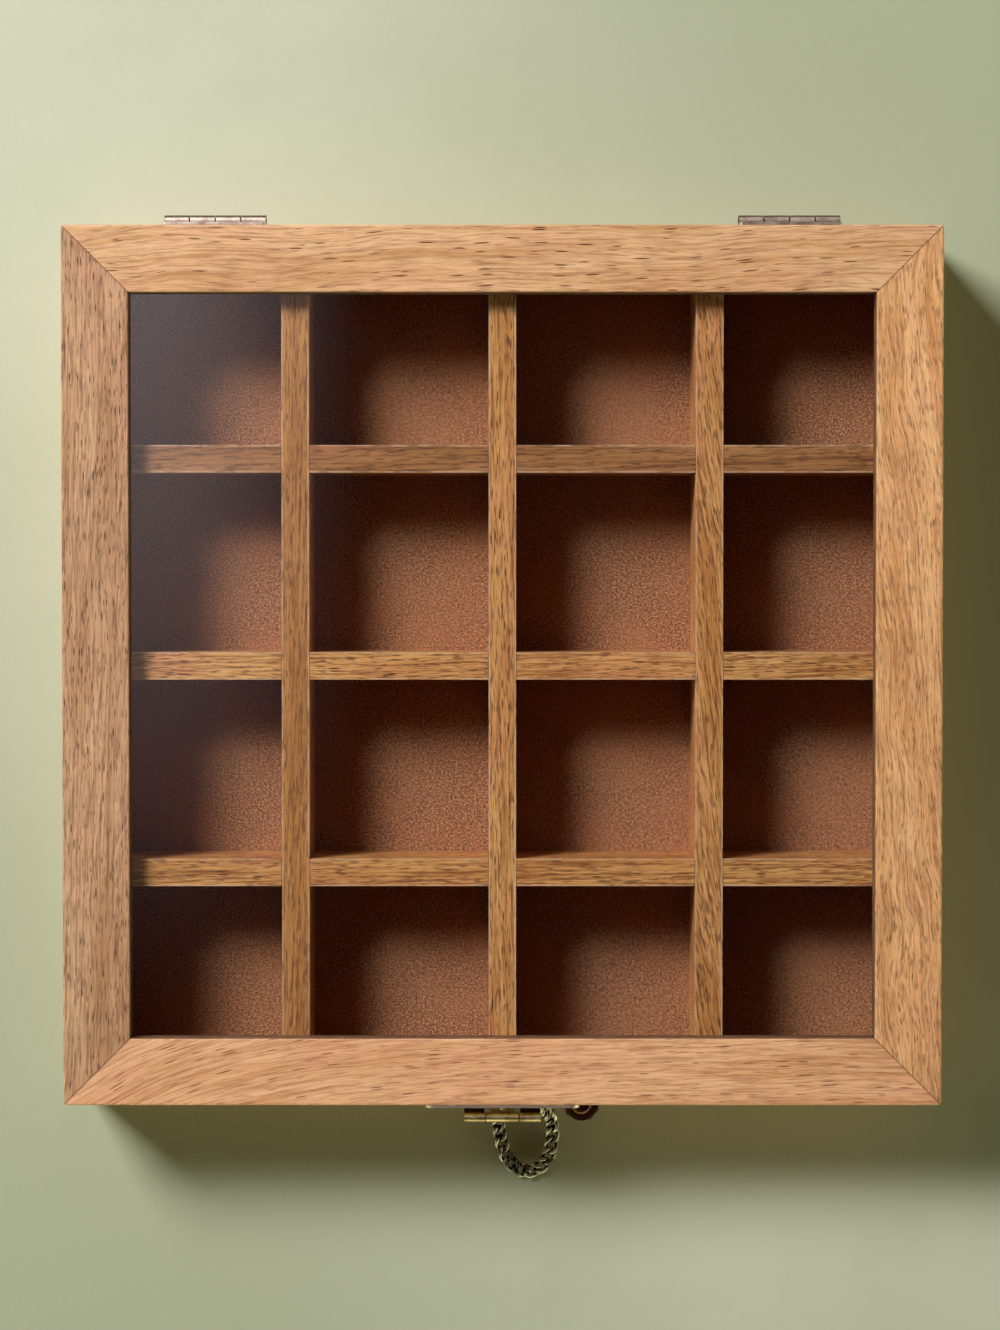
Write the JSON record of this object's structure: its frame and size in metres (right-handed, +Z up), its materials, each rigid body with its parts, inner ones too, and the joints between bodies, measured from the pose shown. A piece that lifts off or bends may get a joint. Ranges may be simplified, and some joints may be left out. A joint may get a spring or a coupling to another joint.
{
  "type": "compartmented display box with glazed lid",
  "caption": "Shallow square wooden display box with a grid of open compartments, a hinged glazed lid and a brass hasp closed by a pin on a short chain.",
  "frame": {"origin": "middle of the underside, on the base panel's lower face", "axes": "+Z up through the lid, +Y towards the hinges, +X to the right seen from the hasp side"},
  "size_m": [0.3, 0.3373, 0.045],
  "materials": {
    "lid_wood": "satin, open pored",
    "case_wood": "satin, open pored",
    "divider_wood": "satin, open pored",
    "base_board": "matt fibre board",
    "clear_glass": "polished",
    "aged_brass": "antiqued, worn bright on edges",
    "dark_brass": "dark antiqued",
    "brass_screws": "antiqued",
    "steel_brads": "plain"
  },
  "bodies": {
    "case": {"case_wall_front": "case_wood", "case_wall_right": "case_wood", "case_wall_back": "case_wood", "case_wall_left": "case_wood", "base_panel": "base_board", "base_panel_brads": "steel_brads", "divider_long_left": "divider_wood", "divider_long_middle": "divider_wood", "divider_long_right": "divider_wood", "divider_cross_front": "divider_wood", "divider_cross_middle": "divider_wood", "divider_cross_back": "divider_wood", "hinge_left_case_leaf": "aged_brass", "hinge_right_case_leaf": "aged_brass", "hinge_left_pin": "aged_brass", "hinge_right_pin": "aged_brass", "hinge_case_screws": "brass_screws", "staple_plate": "aged_brass", "staple": "aged_brass", "staple_plate_screws": "brass_screws", "latch_chain": "dark_brass"},
    "lid": {"lid_rail_front": "lid_wood", "lid_rail_right": "lid_wood", "lid_rail_back": "lid_wood", "lid_rail_left": "lid_wood", "glass_pane": "clear_glass", "hinge_left_lid_leaf": "aged_brass", "hinge_right_lid_leaf": "aged_brass", "hinge_lid_screws": "brass_screws", "hasp_plate": "aged_brass", "hasp_plate_screws": "brass_screws", "hasp_pin": "aged_brass"},
    "flap": {"hasp_flap": "aged_brass"},
    "pin": {"lock_pin": "dark_brass"}
  },
  "joints": [
    {"name": "lid_hinge", "type": "hinge", "parent": "case", "child": "lid", "pos_m": [0, 0.15215, 0.037], "axis": [-1, 0, 0], "range_deg": [0, 180]},
    {"name": "hasp_swing", "type": "hinge", "parent": "lid", "child": "flap", "pos_m": [0, -0.155, 0.039], "axis": [-1, 0, 0], "range_deg": [-10.6, 120]},
    {"name": "lock_slide", "type": "slide", "parent": "case", "child": "pin", "axis": [-1, 0, 0], "range_m": [0, 0.006]}
  ]
}
